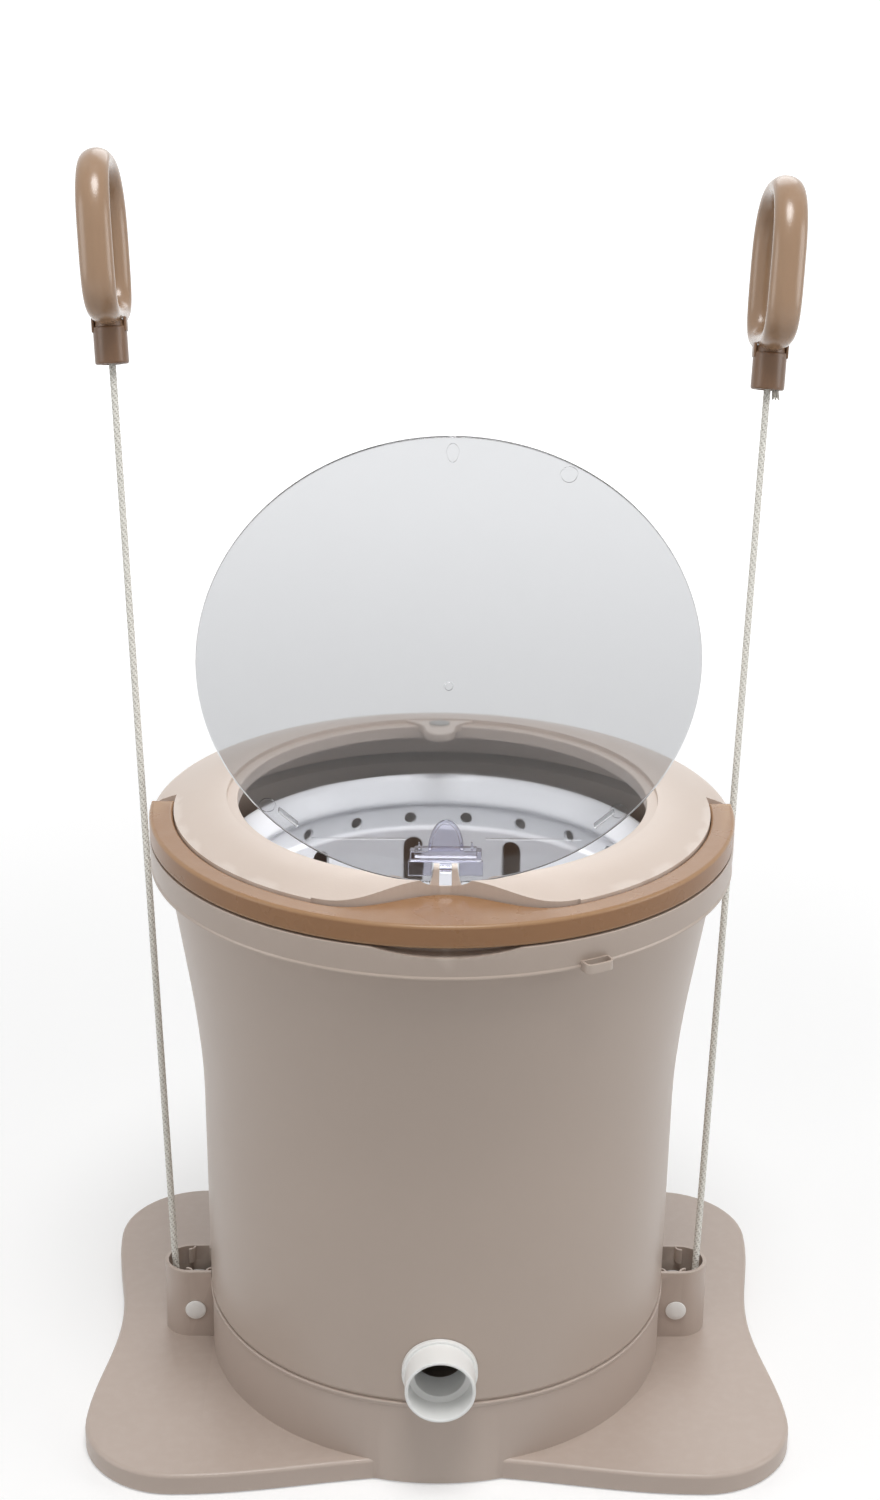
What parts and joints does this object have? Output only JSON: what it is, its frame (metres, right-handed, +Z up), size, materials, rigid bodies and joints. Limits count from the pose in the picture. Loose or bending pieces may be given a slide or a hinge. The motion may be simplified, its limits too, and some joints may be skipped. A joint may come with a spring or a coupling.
{
  "type": "manual washing machine",
  "caption": "Hand-pulled washing machine on a foot plate: flared tub, perforated basket, clear hinged lid, carrying bail, drain nozzle and rope grips",
  "frame": {"origin": "on the floor under the tub's axis, at the middle of the bottom cover's lower face", "axes": "+Z up along the shaft, -Y to the front where the drain nozzle is, +X to the right seen from the front"},
  "size_m": [0.383, 0.3399, 0.6397],
  "materials": {
    "taupe_plastic": "fine satin moulded plastic",
    "cream_plastic": "fine satin moulded plastic",
    "tan_plastic": "satin gloss moulded plastic",
    "brown_plastic": "satin moulded plastic",
    "white_plastic": "smooth moulded plastic",
    "grey_plastic": "matt moulded plastic",
    "clear_plastic": "clear polished plastic",
    "bluish_plastic": "clear plastic with a bluish tint",
    "rubber": "matt black rubber",
    "steel": "turned and rolled steel",
    "bronze": "turned bearing bronze",
    "rope": "braided off-white cord"
  },
  "bodies": {
    "base": {"base_moulding": "taupe_plastic", "foot_pad_front_left": "rubber", "foot_pad_front_right": "rubber", "foot_pad_rear_left": "rubber", "foot_pad_rear_right": "rubber", "bottom_cover": "taupe_plastic", "cover_screw_1": "steel", "cover_screw_2": "steel", "cover_screw_3": "steel", "cover_screw_4": "steel", "tub_screw_1": "steel", "tub_screw_2": "steel", "tub_screw_3": "steel", "tub_screw_4": "steel", "tub": "taupe_plastic", "drain_nozzle": "white_plastic", "drain_gasket": "rubber", "drain_nut": "grey_plastic", "top_ring": "cream_plastic", "lid_catch": "grey_plastic", "lid_hinge_pin": "steel", "bail_pin_left": "steel", "bail_pin_right": "steel", "lower_bush": "bronze", "upper_bush": "bronze", "shaft_seal": "rubber", "mechanism_plate": "grey_plastic", "left_recoil_spring": "steel", "right_recoil_spring": "steel", "left_roller_pin": "white_plastic", "right_roller_pin": "white_plastic", "left_rope_inner": "rope", "right_rope_inner": "rope", "left_rope": "rope", "right_rope": "rope"},
    "lid": {"lid": "clear_plastic", "lid_hinge_block": "bluish_plastic"},
    "bail": {"carry_bail": "tan_plastic"},
    "spinner": {"basket": "white_plastic", "basket_rim": "white_plastic", "basket_nut": "white_plastic", "drive_shaft": "steel"},
    "left_spool": {"left_spool": "white_plastic", "left_clutch": "steel", "left_winding": "rope"},
    "right_spool": {"right_spool": "white_plastic", "right_clutch": "steel", "right_winding": "rope"},
    "left_roller": {"left_roller": "white_plastic"},
    "right_roller": {"right_roller": "white_plastic"},
    "left_grip": {"left_grip_hub": "brown_plastic", "left_grip_loop": "tan_plastic", "left_rope_knot": "rope"},
    "right_grip": {"right_grip_hub": "brown_plastic", "right_grip_loop": "tan_plastic", "right_rope_knot": "rope", "right_rope_tail": "rope"}
  },
  "joints": [
    {"name": "left_pull", "type": "slide", "parent": "base", "child": "left_grip", "axis": [-0.064, 0.2482, 0.9666], "range_m": [-0.485, 0], "deforming": ["left_rope"]},
    {"name": "right_pull", "type": "slide", "parent": "base", "child": "right_grip", "axis": [0.0616, 0.2535, 0.9654], "range_m": [-0.474, 0], "deforming": ["right_rope"]},
    {"name": "bail_hinge", "type": "hinge", "parent": "base", "child": "bail", "pos_m": [0, 0.0025, 0.322], "axis": [-1, 0, 0], "range_deg": [0, 69.5]},
    {"name": "lid_hinge", "type": "hinge", "parent": "base", "child": "lid", "pos_m": [0, -0.1063, 0.3381], "axis": [-1, 0, 0], "range_deg": [0, 99.7]},
    {"name": "basket_spin", "type": "hinge", "parent": "base", "child": "spinner", "pos_m": [0, 0, 0.05], "axis": [0, 0, 1], "continuous": true},
    {"name": "left_spool_spin", "type": "hinge", "parent": "base", "child": "left_spool", "pos_m": [0, 0, 0.0131], "axis": [0, 0, 1], "continuous": true},
    {"name": "right_spool_spin", "type": "hinge", "parent": "base", "child": "right_spool", "pos_m": [0, 0, 0.0289], "axis": [0, 0, 1], "continuous": true},
    {"name": "left_roller_spin", "type": "hinge", "parent": "base", "child": "left_roller", "pos_m": [-0.133, 0.006, 0.0295], "axis": [0, 1, 0], "continuous": true},
    {"name": "right_roller_spin", "type": "hinge", "parent": "base", "child": "right_roller", "pos_m": [0.133, 0.006, 0.0295], "axis": [0, 1, 0], "continuous": true}
  ],
  "couplings": [
    {"joint": "lid_hinge", "follows": "bail_hinge", "ratio": 1.4345},
    {"joint": "left_spool_spin", "follows": "left_pull", "rad_per_m": 31.056},
    {"joint": "right_spool_spin", "follows": "right_pull", "rad_per_m": 31.056},
    {"joint": "left_roller_spin", "follows": "left_pull", "rad_per_m": 94.34},
    {"joint": "right_roller_spin", "follows": "right_pull", "rad_per_m": -94.34}
  ]
}
